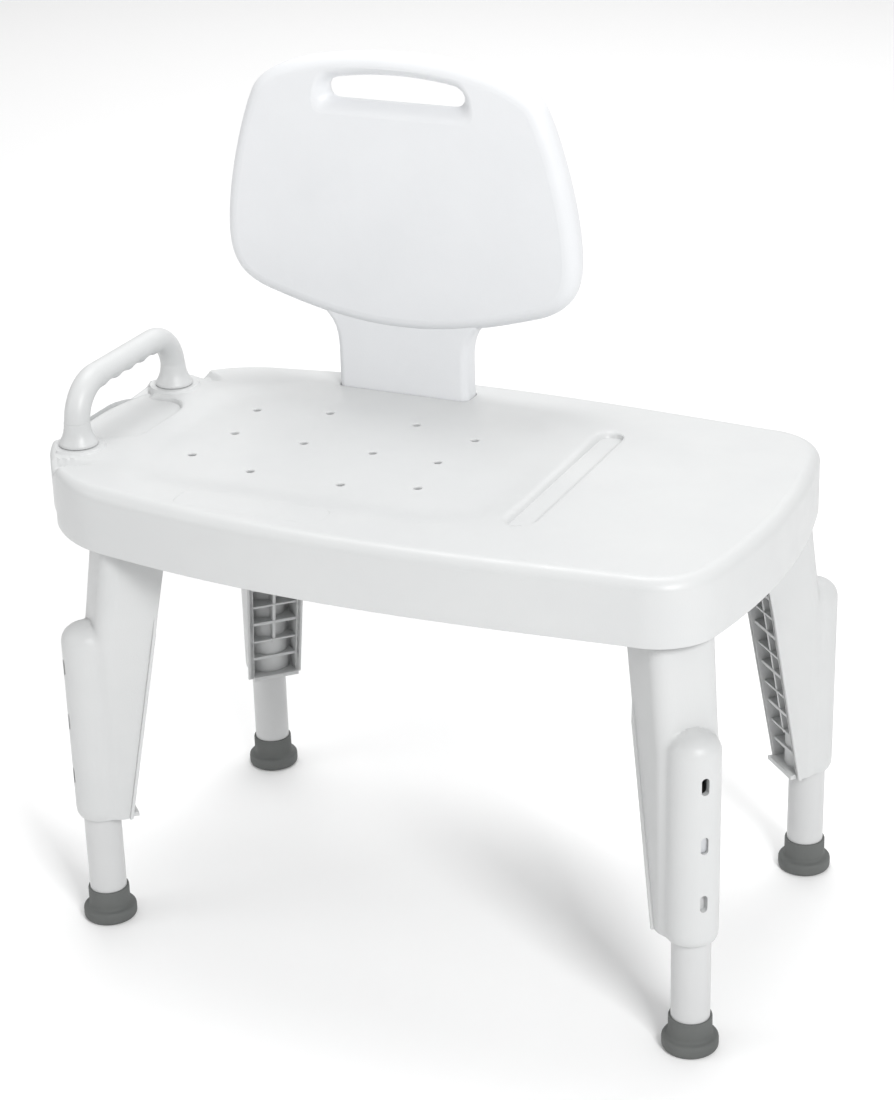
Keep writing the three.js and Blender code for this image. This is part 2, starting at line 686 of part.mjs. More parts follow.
function buildLegTube(sx, sy, name) {
  const x = sx * FOOT_X;
  const y = sy * FOOT_Y;
  const bottom = TIP_FLOOR + GAP;
  const tube = cylinder(x, y, bottom, TUBE_TOP, TUBE_R, 24)
    .subtract(cylinder(x, y, bottom - 5, TUBE_TOP + 5, TUBE_R - TUBE_WALL, 24))
    .subtract(slotSolid(sx, sy, -30, -8, 7, 16, LOCK_Z));
  addPiece(`leg_tube_${name}`, tube, white);
  const tip = turned(x, y, [
    [0, 0], [22, 0], [TIP_R, 3], [TIP_R, 10], [19.6, 13.4], [19.2, 32],
    [BORE_R, 32], [BORE_R, TIP_FLOOR], [0, TIP_FLOOR],
  ], 24);
  addPiece(`rubber_tip_${name}`, tip, rubber);
}

// One bent strip of spring steel inside the tube, with the formed button that locks the height.
function buildSnapClip(sx, sy, name) {
  const tip = -TUBE_R - BUTTON_PROUD;
  const pin = slotSolid(sx, sy, tip, -12, 6.2, 15.2, LOCK_Z)
    .add(slotSolid(sx, sy, -13.4, -11.2, 10, 19, LOCK_Z));
  const strip = (u, z) => {
    const points = [[u, -4], [u + 0.8, -4], [u + 0.8, 4], [u, 4]];
    return legRing(sx, sy, points, z);
  };
  const near = loft([strip(-3.2, LOCK_Z - 37), strip(-11.6, LOCK_Z - 12), strip(-11.6, LOCK_Z + 10)]);
  const far = loft([strip(-3.2, LOCK_Z - 37), strip(7.2, LOCK_Z + 10)]);
  addPiece(`snap_clip_${name}`, pin.add(near).add(far), steel);
}

buildSeat();
buildSocketCover();
buildBackrest();
buildHandle();
corners.forEach(([sx, sy, name]) => {
  buildLeg(sx, sy, name);
  buildLegTube(sx, sy, name);
  buildSnapClip(sx, sy, name);
});

export default bench;
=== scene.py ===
import math

import bpy
import numpy as np
from mathutils import Matrix, Vector, geometry


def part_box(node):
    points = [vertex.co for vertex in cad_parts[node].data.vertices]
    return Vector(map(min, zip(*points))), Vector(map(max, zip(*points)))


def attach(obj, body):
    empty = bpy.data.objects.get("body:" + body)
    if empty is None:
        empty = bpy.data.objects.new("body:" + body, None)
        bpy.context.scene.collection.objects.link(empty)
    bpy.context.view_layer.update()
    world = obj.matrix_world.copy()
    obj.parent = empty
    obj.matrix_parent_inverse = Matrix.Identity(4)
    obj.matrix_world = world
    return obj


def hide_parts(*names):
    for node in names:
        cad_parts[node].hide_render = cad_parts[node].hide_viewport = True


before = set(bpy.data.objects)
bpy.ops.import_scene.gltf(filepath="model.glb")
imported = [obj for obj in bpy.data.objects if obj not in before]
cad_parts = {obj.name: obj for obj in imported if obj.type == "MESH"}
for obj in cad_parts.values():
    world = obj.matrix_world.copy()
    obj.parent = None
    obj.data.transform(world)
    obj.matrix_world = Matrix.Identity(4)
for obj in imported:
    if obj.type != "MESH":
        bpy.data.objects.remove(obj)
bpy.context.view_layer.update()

# Shapes are worked out in millimetres about the middle of the four feet, as the bench is drawn,
# and placed with the feet's middle that the rubber tips in model.glb give.
MM = 0.001
CORNERS = {"front_right": (1, -1), "front_left": (-1, -1), "back_right": (1, 1), "back_left": (-1, 1)}
TIPS = {c: [(a + b) / 2 for a, b in zip(*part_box("rubber_tip_" + c))] for c in CORNERS}
FEET_MID_X = sum(t[0] for t in TIPS.values()) / 4
FOOT_X = (TIPS["front_right"][0] - TIPS["front_left"][0]) / 2 / MM
FOOT_Y = (TIPS["back_right"][1] - TIPS["front_right"][1]) / 2 / MM

SEAT_TOP = 442
SEAT_BOTTOM = 381.6
PLATFORM_BOTTOM = 395
SEAT_LEFT = -381
SEAT_RIGHT = 316
CORNER_X, CORNER_R, CORNER_TURN = 244.5, 58, 0.21
DECK = 5
WALL = 4.5
HANDLE_X, HANDLE_Y = -333, 87
PAD_TOP = 444
STEM_X, STEM_W, STEM_Y0, STEM_T = -116, 136, 145, 27
STEM_BOTTOM = 389
PANEL_Y0 = 141
PANEL_W, PANEL_BOTTOM, PANEL_TOP = 181, 505, 768
COLUMN_R = 23.2
COLUMN_BOTTOM = 111
HOUSING_R = 21.8
BORE_R = 17.5
LEG_TOP = 419
HOLE_Z = (153.5, 209, 264.5)
TRAY = (-369, -296, -58, 58, 30)
DISH = (-268, 72, -112, 112, 60)
CURTAIN = (102, 125, -112, 117, 11)
DRAINS = [(x, s * y) for x, y in ((-229, 62), (-160, 79), (-70, 79), (-3, 62)) for s in (-1, 1)]
DRAINS += [(x, 0) for x in (-219, -147, -77, -12)]
DRAIN_R = 3.8
WHOLE = 1e4  # a spacing that leaves straight sides undivided


# ---- materials ----
def add_node(tree, kind, **values):
    node = tree.nodes.new(kind)
    for key, value in values.items():
        if key in node.inputs:
            node.inputs[key].default_value = value
        else:
            setattr(node, key, value)
    return node


def noise(tree, scale, detail):
    node = add_node(tree, "ShaderNodeTexNoise", Scale=scale, Detail=detail)
    tree.links.new(tree.nodes["Place"].outputs["Object"], node.inputs["Vector"])
    return node.outputs["Fac"]


def spread(tree, value, low, high):
    node = add_node(tree, "ShaderNodeMapRange")
    node.inputs["From Min"].default_value = 0.3
    node.inputs["From Max"].default_value = 0.7
    node.inputs["To Min"].default_value = low
    node.inputs["To Max"].default_value = high
    tree.links.new(value, node.inputs["Value"])
    return node.outputs["Result"]


def moulded(name, colour, shade, rough, grain_scale, grain, wave, **constants):
    """A moulded surface: mottled colour and gloss, fine grain and a slow wave of the wall."""
    material = bpy.data.materials.new(name)
    material.use_nodes = True
    tree = material.node_tree
    shader = tree.nodes["Principled BSDF"]
    add_node(tree, "ShaderNodeTexCoord", name="Place")
    mix = add_node(tree, "ShaderNodeMix", data_type="RGBA")
    mix.inputs["A"].default_value = (*colour, 1)
    mix.inputs["B"].default_value = (*shade, 1)
    tree.links.new(spread(tree, noise(tree, 14, 4), 0, 1), mix.inputs["Factor"])
    tree.links.new(mix.outputs["Result"], shader.inputs["Base Color"])
    tree.links.new(spread(tree, noise(tree, 45, 5), rough[0], rough[1]), shader.inputs["Roughness"])
    fine = add_node(tree, "ShaderNodeBump", Strength=grain, Distance=0.0004)
    tree.links.new(noise(tree, grain_scale, 3), fine.inputs["Height"])
    slow = add_node(tree, "ShaderNodeBump", Strength=wave, Distance=0.004)
    tree.links.new(noise(tree, 9, 2), slow.inputs["Height"])
    tree.links.new(slow.outputs["Normal"], fine.inputs["Normal"])
    tree.links.new(fine.outputs["Normal"], shader.inputs["Normal"])
    for key, value in constants.items():
        shader.inputs[key.replace("_", " ")].default_value = value
    return material


SEAT_WHITE = moulded("seat_white", (0.6, 0.608, 0.608), (0.582, 0.59, 0.592), (0.34, 0.44), 900, 0.22, 0.05)
BACK_WHITE = moulded("back_white", (0.745, 0.755, 0.77), (0.725, 0.735, 0.75), (0.36, 0.46), 700, 0.2, 0.06)
LEG_WHITE = moulded("leg_white", (0.585, 0.592, 0.592), (0.565, 0.573, 0.574), (0.36, 0.47),
                    800, 0.25, 0.06)
TUBE_WHITE = moulded("tube_white", (0.565, 0.57, 0.571), (0.55, 0.555, 0.556), (0.3, 0.4), 500, 0.12, 0.04)
RUBBER = moulded("grey_rubber", (0.122, 0.128, 0.124), (0.104, 0.11, 0.107), (0.6, 0.8), 1300, 0.5, 0.08)
STEEL = moulded("zinc_steel", (0.62, 0.63, 0.65), (0.5, 0.51, 0.53), (0.25, 0.45), 1500, 0.25, 0.03,
                Metallic=1.0)


# ---- mesh helpers ----
def add_piece(name, parts, body, material, replaces=(), sharp=38):
    """One object from parts, each (points in mm, faces), that rides on a body."""
    points, faces = [], []
    for part_points, part_faces in parts:
        base = sum(len(p) for p in points)
        points.append(np.asarray(part_points, float))
        faces += [tuple(int(i) + base for i in f) for f in part_faces]
    places = np.vstack(points) * MM
    places[:, 0] += FEET_MID_X
    mesh = bpy.data.meshes.new(name)
    mesh.from_pydata(places.tolist(), [], faces)
    mesh.validate()
    mesh.polygons.foreach_set("use_smooth", [True] * len(mesh.polygons))
    mesh.set_sharp_from_angle(angle=math.radians(sharp))
    mesh.materials.append(material)
    piece = bpy.data.objects.new(name, mesh)
    bpy.context.scene.collection.objects.link(piece)
    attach(piece, body)
    if replaces:
        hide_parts(*replaces)
    return piece


def grid_faces(rows, columns, closed=True, flip=False, base=0):
    faces = []
    last = columns if closed else columns - 1
    for r in range(rows - 1):
        for c in range(last):
            a = base + r * columns + c
            b = base + r * columns + (c + 1) % columns
            quad = (a, b, b + columns, a + columns)
            faces.append(quad[::-1] if flip else quad)
    return faces


def skin(rings, caps=(True, True), flip=False):
    """A closed skin through rings of equal count, turned outwards when the rings run
    anticlockwise about the way that they go."""
    rings = np.asarray(rings, float)
    rows, columns = rings.shape[:2]
    faces = grid_faces(rows, columns, flip=flip)
    bottom = tuple(range(columns))
    top = tuple((rows - 1) * columns + i for i in range(columns))
    if caps[0]:
        faces.append(bottom if flip else bottom[::-1])
    if caps[1]:
        faces.append(top[::-1] if flip else top)
    return rings.reshape(-1, 3), faces


def prism(outline, z0, z1, edge=0.6):
    """An upright prism with small rounded edges."""
    outline = np.asarray(outline, float)
    middle = outline.mean(0)
    size = np.ptp(outline, axis=0) / 2
    rings = []
    for z, inset in ((z0, edge), (z0 + edge * 0.3, edge * 0.3), (z0 + edge, 0),
                     (z1 - edge, 0), (z1 - edge * 0.3, edge * 0.3), (z1, edge)):
        shrunk = middle + (outline - middle) * (1 - inset / size)
        rings.append(np.column_stack([shrunk, np.full(len(outline), z)]))
    return skin(rings)


def rounded_rect(x0, x1, y0, y1, radius, steps=8, spacing=5.0):
    """Anticlockwise points of a rounded rectangle, no further apart than spacing."""
    points = []
    for k, (cx, cy) in enumerate(((x1 - radius, y1 - radius), (x0 + radius, y1 - radius),
                                  (x0 + radius, y0 + radius), (x1 - radius, y0 + radius))):
        angles = (k + np.linspace(0, 1, steps + 1)) * math.pi / 2
        points += [(cx + radius * math.cos(a), cy + radius * math.sin(a)) for a in angles]
    filled = []
    for a, b in zip(points, points[1:] + points[:1]):
        count = max(1, round(math.dist(a, b) / spacing))
        for i in range(count):
            filled.append((a[0] + (b[0] - a[0]) * i / count, a[1] + (b[1] - a[1]) * i / count))
    return np.array(filled)


def grown_rect(rect, grow, steps=8, spacing=5.0):
    x0, x1, y0, y1, radius = rect
    return rounded_rect(x0 - grow, x1 + grow, y0 - grow, y1 + grow, max(0.3, radius + grow), steps, spacing)


def circle(x, y, radius, count):
    a = np.arange(count) * 2 * math.pi / count
    return np.column_stack([x + radius * np.cos(a), y + radius * np.sin(a)])


def turned(x, y, profile, count=48):
    """A turned skin about an upright axis, from (radius, z) points; a point on the axis ends it."""
    profile = [p for p in profile if p[0] > 0]
    rings = [np.column_stack([circle(x, y, r, count), np.full(count, z)]) for r, z in profile]
    return skin(rings)


def smoothstep(value, low, high):
    t = np.clip((np.asarray(value, float) - low) / (high - low), 0, 1)
    return t * t * (3 - 2 * t)


def rect_distance(x, y, rect):
    """Distance outside a rounded rectangle; negative inside it."""
    x0, x1, y0, y1, radius = rect
    dx = np.abs(x - (x0 + x1) / 2) - (x1 - x0) / 2 + radius
    dy = np.abs(y - (y0 + y1) / 2) - (y1 - y0) / 2 + radius
    return np.hypot(np.maximum(dx, 0), np.maximum(dy, 0)) + np.minimum(np.maximum(dx, dy), 0) - radius


# ---- seat ----
def half_width(x):
    t = x / 300
    return 200.8 - 3.4 * t - 29.5 * t**2 + 9.7 * t**3 + 4 * t**4


def seat_outline(tuck):
    corner_y = half_width(CORNER_X) - CORNER_R
    start_x = CORNER_X + CORNER_R * math.cos(CORNER_TURN)
    start_y = corner_y + CORNER_R * math.sin(CORNER_TURN)
    half = [(SEAT_RIGHT - (SEAT_RIGHT - start_x) * (i / 24) ** 2, start_y * i / 24) for i in range(24)]
    for a in np.linspace(CORNER_TURN, math.pi / 2, 19):
        half.append((CORNER_X + CORNER_R * math.cos(a), corner_y + CORNER_R * math.sin(a)))
    half += [(x, half_width(x)) for x in np.arange(238, -262, -6.0)]
    y = half_width(-264)
    ends = np.array([(-264, y), (-332, y - 13.6), (SEAT_LEFT, 79), (SEAT_LEFT, 0)])
    for t in np.linspace(0, 1, 46):
        weights = ((1 - t) ** 3, 3 * (1 - t) ** 2 * t, 3 * (1 - t) * t**2, t**3)
        half.append(tuple(np.dot(weights, ends)))
    outline = np.array(half + [(x, -y) for x, y in half[-2:0:-1]])
    left_end = smoothstep(-outline[:, 0], 300, 345) * smoothstep(-np.abs(outline[:, 1]), -136, -126)
    outline[:, 0] += tuck * left_end
    return outline


def inward(outline, inset):
    """The outline drawn in along its normals; inset may differ from point to point."""
    tangent = np.roll(outline, -1, axis=0) - np.roll(outline, 1, axis=0)
    tangent /= np.linalg.norm(tangent, axis=1)[:, None]
    normal = np.column_stack([-tangent[:, 1], tangent[:, 0]])
    return outline + normal * np.broadcast_to(inset, len(outline))[:, None]


LID = (STEM_X - STEM_W / 2 - 3, STEM_X + STEM_W / 2 + 3, -STEM_Y0 - STEM_T - 3, -STEM_Y0 + 3, 9)
SOCKET = (STEM_X - STEM_W / 2 - 0.3, STEM_X + STEM_W / 2 + 0.3, STEM_Y0 - 0.3, STEM_Y0 + STEM_T + 0.3, 7.3)
PIT_EDGE = ([-3, -1.5, -0.5, 0.3, 1.2, 2.4, 3.6, 5.5, 8.5],
            [0, 0.01, 0.035, 0.1, 0.34, 0.68, 0.86, 0.955, 1])


def seat_height(x, y):
    """Height of the seat's upper surface."""
    z = SEAT_TOP - 3 * (1 - smoothstep(rect_distance(x, y, DISH), -6, 34))
    sag = np.maximum(0, 18 - (224 - np.sqrt(np.maximum(0, 224**2 - y**2))))
    z = z - sag * smoothstep(-x, 338, 354)
    for side in (-1, 1):
        pad = np.hypot(x - HANDLE_X, y - side * HANDLE_Y)
        z = z + (PAD_TOP - z) * (1 - smoothstep(pad, 23.6, 25.4))
    for side in (-1, 1):
        dx, dy = x + 334, y - 131 * side
        along = (62 * dx - 26 * side * dy) / 67.23
        across = np.abs(62 * dy + 26 * side * dx) / 67.23
        floor = 440 + 0.1785 * along + np.maximum(0, along - 12) * 0.14
        floor = floor - np.sqrt(np.maximum(0, 8.5**2 - across**2)) + np.maximum(0, across - 8.5) * 3
        h = np.clip(0.5 + (floor - z) / 5, 0, 1)
        z = floor * (1 - h) + z * h - 2.5 * h * (1 - h)
    depth = np.interp(-rect_distance(x, y, TRAY), *PIT_EDGE)
    z = z + (412 - z) * depth
    slot = -rect_distance(x, y, CURTAIN)
    hard = np.interp(slot, [-0.8, 0, 0.8, 2.2, 4], [0, 0.06, 0.6, 0.93, 1])
    soft = np.interp(slot, [-7, -3.5, -1, 1.5, 4.5, 7], [0, 0.05, 0.22, 0.6, 0.93, 1])
    z = z - 13 * (soft + (hard - soft) * smoothstep(x, 107, 118))
    z = np.where(rect_distance(x, y, LID) < -0.05, SEAT_TOP - 2.3, z)
    socket = -rect_distance(x, y, SOCKET)
    return z + (STEM_BOTTOM - 0.5 - z) * np.interp(socket, [-1.2, -0.5, 0, 0.25], [0, 0.006, 0.03, 1])


def flat_mesh(boundary, loops, holes, spacing, height, extra=()):
    """Triangles inside a boundary that follow the loops, with the holes left open.
    Returns points with their heights and the faces."""
    points = [tuple(p) for p in boundary]
    edges = [(i, (i + 1) % len(points)) for i in range(len(points))]
    for loop in list(holes) + list(loops):
        base = len(points)
        points += [tuple(p) for p in loop]
        edges += [(base + i, base + (i + 1) % len(loop)) for i in range(len(loop))]
    low, high = np.min(boundary, 0), np.max(boundary, 0)
    xs, ys = np.meshgrid(np.arange(low[0], high[0], spacing), np.arange(low[1], high[1], spacing))
    grid = np.column_stack([xs.ravel(), ys.ravel()])
    if len(extra):
        grid = np.vstack([grid] + list(extra))
    ring = np.array(points)
    keep = np.ones(len(grid), bool)
    for start in range(0, len(grid), 2000):
        block = grid[start:start + 2000]
        apart = block[:, None] - ring[None]
        keep[start:start + 2000] = np.hypot(apart[:, :, 0], apart[:, :, 1]).min(axis=1) > 0.9
    inside = inside_outline(grid, boundary)
    points += [tuple(p) for p in grid[keep & inside]]
    result = geometry.delaunay_2d_cdt([Vector(p) for p in points], edges, [], 1, 1e-5)
    places = np.array([tuple(p) for p in result[0]])
    faces = np.array([tuple(f) for f in result[2]])
    middles = places[faces].mean(1)
    good = inside_outline(middles, boundary)
    for hole in holes:
        centre = np.mean(hole, 0)
        reach = np.max(np.hypot(*(hole - centre).T))
        good &= np.hypot(middles[:, 0] - centre[0], middles[:, 1] - centre[1]) > reach * 0.93
    return np.column_stack([places, height(places[:, 0], places[:, 1])]), faces[good]


def inside_outline(points, outline):
    inside = np.zeros(len(points), bool)
    x, y = points[:, 0], points[:, 1]
    for (x0, y0), (x1, y1) in zip(outline, np.roll(outline, -1, axis=0)):
        if y0 == y1:
            continue
        crosses = (y0 > y) != (y1 > y)
        inside ^= crosses & (x < (x1 - x0) * (y - y0) / (y1 - y0) + x0)
    return inside


def seat_shell():
    outer = seat_outline(0)
    tucked = seat_outline(6)
    edge_r = 12 - 6.5 * smoothstep(-outer[:, 0], 240, 350)
    top_loop = inward(outer, edge_r)
    crest = seat_height(top_loop[:, 0], top_loop[:, 1])
    rings = [np.column_stack([top_loop, crest])]
    for a in np.linspace(0, math.pi / 2, 11)[1:]:
        loop = inward(outer, edge_r * (1 - math.sin(a)))
        rings.append(np.column_stack([loop, crest - edge_r * (1 - math.cos(a))]))
    step = (tucked[:, 0] - outer[:, 0]) / 6
    low = [(outer, 0, PLATFORM_BOTTOM + 3), (outer, 0, PLATFORM_BOTTOM + 1.2),
           (outer, 0.8 * step, PLATFORM_BOTTOM),
           (tucked, 0, PLATFORM_BOTTOM - 1), (tucked, 0, SEAT_BOTTOM + 2), (tucked, 0.5, SEAT_BOTTOM + 0.5),
           (tucked, 1.8, SEAT_BOTTOM), (tucked, WALL - 0.8, SEAT_BOTTOM), (tucked, WALL, SEAT_BOTTOM + 1)]
    deck = SEAT_TOP - DECK
    for a in np.linspace(0, math.pi / 2, 5):
        low.append((tucked, WALL + 7 * (1 - math.cos(a)), deck - 7 + 7 * math.sin(a)))
    for outline, inset, z in low:
        rings.append(np.column_stack([inward(outline, inset), np.full(len(outer), z)]))
    side = skin(rings, caps=(False, False), flip=True)
    loops = [grown_rect(TRAY, -d) for d in PIT_EDGE[0]] + [grown_rect(TRAY, -14)]
    loops = [loop for loop in loops if np.all(inside_outline(loop, top_loop))]
    loops += [grown_rect(CURTAIN, g) for g in (7, 3.5, 1, 0, -0.8, -2.2, -4, -7)]
    loops += [grown_rect(LID, g, 6, 8) for g in (0, -0.1)]
    loops += [grown_rect(SOCKET, g, 6, 8) for g in (1.2, 0.5, 0, -0.25)]
    loops += [circle(HANDLE_X, s * HANDLE_Y, r, 40) for s in (-1, 1) for r in (25.5, 24.6, 23.5)]
    holes = [circle(x, y, DRAIN_R, 20) for x, y in DRAINS]
    loops += [circle(x, y, DRAIN_R + 0.9, 20) for x, y in DRAINS]
    fine_x, fine_y = np.meshgrid(np.arange(-378, -262, 2.2), np.arange(-160, 161, 2.2))
    fine = np.column_stack([fine_x.ravel(), fine_y.ravel()])
    fine = fine[rect_distance(fine[:, 0], fine[:, 1], TRAY) > -9]

    def holed(x, y):
        z = seat_height(x, y)
        near = np.min([np.hypot(x - hx, y - hy) for hx, hy in DRAINS], axis=0)
        return z - 0.7 * (near < DRAIN_R + 0.3)

    top = flat_mesh(top_loop, loops, holes, 6.0, holed, [fine])
    under_loop = rings[-1][:, :2]
    level = lambda x, y: np.full(len(x), float(deck))
    bottom_points, bottom_faces = flat_mesh(under_loop, [], holes, 40.0, level)
    walls = []
    for hole, (hx, hy) in zip(holes, DRAINS):
        z = float(seat_height(np.array([hx]), np.array([hy]))[0]) - 0.7
        rings_of_hole = [np.column_stack([hole, np.full(len(hole), h)]) for h in (z, deck)]
        walls.append(skin(rings_of_hole, caps=(False, False)))
    return [side, top, (bottom_points, bottom_faces[:, ::-1])] + walls


def block(x0, x1, y0, y1, z0, z1):
    return prism([(x1, y1), (x0, y1), (x0, y0), (x1, y0)], z0, z1, 0.4)


def socket_box(rect, wall, z0, z1):
    """The wall and floor round a pocket, open at the top, where it meets the deck."""
    rings = []
    for z, inset in ((z0, 0.8), (z0 + 0.25, 0.25), (z0 + 0.8, 0), (z1, 0)):
        loop = grown_rect(rect, wall - inset, 5, WHOLE)
        rings.append(np.column_stack([loop, np.full(len(loop), z)]))
    return skin(rings, caps=(True, False))


def leg_place(sx, sy, u, v):
    k = math.sqrt(0.5)
    return sx * (FOOT_X - (u + v) * k), sy * (FOOT_Y - (u - v) * k)


def leg_frame(points, sx, sy):
    """Points given as distances inwards and across a leg, turned to one corner of the bench."""
    points = np.asarray(points, float)
    x, y = leg_place(sx, sy, points[:, 0], points[:, 1])
    return np.column_stack([x, y, points[:, 2]])


def to_corner(part, sx, sy):
    points, faces = part
    turned_round = sx * sy > 0
    return leg_frame(points, sx, sy), [tuple(f)[::-1] if turned_round else tuple(f) for f in faces]


def seat_underside():
    top = SEAT_TOP - DECK + 0.4
    parts = []
    for s in (-1, 1):
        for y, reach in ((35 * s, (-291, 308)), (105 * s, (-196, 196))):
            spans = ((reach[0], 98.6, top), (98.4, 128.6, 425), (128.4, reach[1], top))
            parts += [block(x0, x1, y - 1.5, y + 1.5, 405, z1) for x0, x1, z1 in spans]
    for x in (-190, -112, -40, 50, 190):
        reach = half_width(x) - 3.2
        parts.append(block(x - 1.5, x + 1.5, -reach, reach, 405, top))
    front = (SOCKET[0], SOCKET[1], -SOCKET[3], -SOCKET[2], SOCKET[4])
    parts += [socket_box(rect, 4.2, SEAT_BOTTOM + 1.4, top) for rect in (SOCKET, front)]
    parts.append(socket_box(CURTAIN, 3.5, SEAT_TOP - 18, top))
    parts.append(socket_box(TRAY, 3.5, 408, top - 1))
    for side in (-1, 1):
        boss = [(20, 437.5), (20, 402.4), (20.6, 401.8), (24.6, 401.8), (25.2, 402.4), (25.2, 438)]
        parts.append(turned_ring(HANDLE_X, side * HANDLE_Y, boss))
    for sx, sy in CORNERS.values():
        outer = rounded_rect(13.2, 76.9, -32.4, 32.4, 14, 7, WHOLE)
        inner = rounded_rect(14.6, 73.4, -30.4, 30.4, 12.5, 7, WHOLE)
        rings = [np.column_stack([outline, np.full(len(outer), z)])
                 for outline, z in ((outer, top), (outer, 398.5), (outer, 398), (inner, 398), (inner, top))]
        parts.append(to_corner(skin(rings, caps=(False, False), flip=True), sx, sy))
        x, y = leg_place(sx, sy, 50, 0)
        boss = [(2.8, 434), (2.8, 419.6), (6.6, 419.3), (7, 419.7), (7, top)]
        parts.append(turned_ring(x, y, boss, 24))
    return parts


def turned_ring(x, y, profile, count=40):
    """An open turned skin that hangs under the deck, from (radius, z) points, outside last."""
    rings = [np.column_stack([circle(x, y, r, count), np.full(count, z)]) for r, z in profile]
    return skin(rings, caps=(False, False))


add_piece("seat_body", seat_shell() + seat_underside(), "bench", SEAT_WHITE, ["seat"])


def socket_cover():
    lid = tuple(v + d for v, d in zip(LID, (0.06, -0.06, 0.06, -0.06, -0.06)))
    rings = []
    for z, inset in ((440, 0), (441.4, 0), (441.9, 0.03), (442, 0.12)):
        loop = grown_rect(lid, -inset, 6, WHOLE)
        rings.append(np.column_stack([loop, np.full(len(loop), z)]))
    plug = rounded_rect(lid[0] + 3.7, lid[1] - 3.7, lid[2] + 3.7, lid[3] - 3.7, 6, 4, WHOLE)
    return [skin(rings), prism(plug, 428, 440.3, 0.8)]


add_piece("socket_cover", socket_cover(), "bench", SEAT_WHITE, ["front_socket_cover"])


# ---- backrest ----
def bezier(points, count):
    points = np.array(points, float)
    t = np.linspace(0, 1, count + 1)[1:, None]
    if len(points) == 3:
        return (1 - t) ** 2 * points[0] + 2 * (1 - t) * t * points[1] + t**2 * points[2]
    return ((1 - t) ** 3 * points[0] + 3 * (1 - t) ** 2 * t * points[1]
            + 3 * (1 - t) * t**2 * points[2] + t**3 * points[3])


def panel_outline():
    w, top, low = PANEL_W, PANEL_TOP, PANEL_BOTTOM
    curves = [
        [(0, low), (55, low), (100, low + 13), (w - 44, low + 24)],
        [(w - 44, low + 24), (w - 14, low + 33), (w, low + 48), (w, low + 82)],
        [(w, low + 82), (w, low + 130), (w - 22, top - 62), (w - 34, top - 40)],
        [(w - 34, top - 40), (w - 48, top - 16), (78, top), (0, top)],
    ]
    half = [(0, low)]
    for curve, count in zip(curves, (24, 18, 24, 32)):
        half += [tuple(p) for p in bezier(curve, count)]
    return np.array(half + [(-x, z) for x, z in half[-2:0:-1]])


def slot_outline(grow):
    x1 = 69 + grow
    z0 = 722 - grow
    side, crown = z0 + 20 + 1.6 * grow, z0 + 29 + 2 * grow
    points = [(x, z0) for x in np.linspace(-x1 + 12, x1 - 12, 24)]
    points += [tuple(p) for p in bezier([(x1 - 12, z0), (x1, z0), (x1, z0 + 11)], 8)]
    points += [tuple(p) for p in bezier([(x1, z0 + 11), (x1, z0 + 18 + grow), (x1 - 12, side)], 8)]
    points += [tuple(p) for p in bezier([(x1 - 12, side), (0, crown), (-x1 + 12, side)], 32)]
    points += [tuple(p) for p in bezier([(-x1 + 12, side), (-x1, z0 + 18 + grow), (-x1, z0 + 11)], 8)]
    points += [tuple(p) for p in bezier([(-x1, z0 + 11), (-x1, z0), (-x1 + 12, z0)], 8)][:-1]
    return np.array(points)


def upright(outline, y):
    return np.column_stack([STEM_X + outline[:, 0], np.full(len(outline), y), outline[:, 1]])


def backrest_panel():
    front, back = PANEL_Y0, STEM_Y0 + STEM_T
    r = 13
    outline = panel_outline()
    rings = []
    for a in np.linspace(0, math.pi / 2, 9):
        rings.append(upright(inward(outline, r * (1 - math.sin(a))), front + r * (1 - math.cos(a))))
    for a in np.linspace(math.pi / 2, 0, 9):
        rings.append(upright(inward(outline, r * (1 - math.sin(a))), back - r * (1 - math.cos(a))))
    shell = skin(rings, caps=(False, False), flip=True)
    bell = [(13, 0), (11.2, 0.35), (9, 1.4), (6.6, 3.2), (4.4, 5.6), (2.4, 8.6), (0.9, 11.2), (0, 14)]
    slot = [upright(slot_outline(g), front + d) for g, d in bell]
    slot += [upright(slot_outline(g), back - d) for g, d in bell[::-1]]
    wall = skin(slot, caps=(False, False))
    inner = inward(outline, r)
    parts = [shell, wall]
    points, faces = cap_with_hole(inner, slot_outline(bell[0][0]), 9.0)
    parts.append((upright(points[:, :2], front), faces))
    parts.append((upright(points[:, :2], back), faces[:, ::-1]))
    return parts


def cap_with_hole(boundary, hole, spacing):
    points = [tuple(p) for p in boundary] + [tuple(p) for p in hole]
    n, m = len(boundary), len(hole)
    edges = [(i, (i + 1) % n) for i in range(n)] + [(n + i, n + (i + 1) % m) for i in range(m)]
    low, high = boundary.min(0), boundary.max(0)
    xs, zs = np.meshgrid(np.arange(low[0], high[0], spacing), np.arange(low[1], high[1], spacing))
    grid = np.column_stack([xs.ravel(), zs.ravel()])
    ring = np.array(points)
    gap = np.min(np.hypot(grid[:, None, 0] - ring[None, :, 0], grid[:, None, 1] - ring[None, :, 1]), axis=1)
    keep = (gap > 2) & inside_outline(grid, boundary) & ~inside_outline(grid, hole)
    points += [tuple(p) for p in grid[keep]]
    result = geometry.delaunay_2d_cdt([Vector(p) for p in points], edges, [], 1, 1e-5)
    places = np.array([tuple(p) for p in result[0]])
    faces = np.array([tuple(f) for f in result[2]])
    middles = places[faces].mean(1)
    good = inside_outline(middles, boundary) & ~inside_outline(middles, hole)
    return places, faces[good]


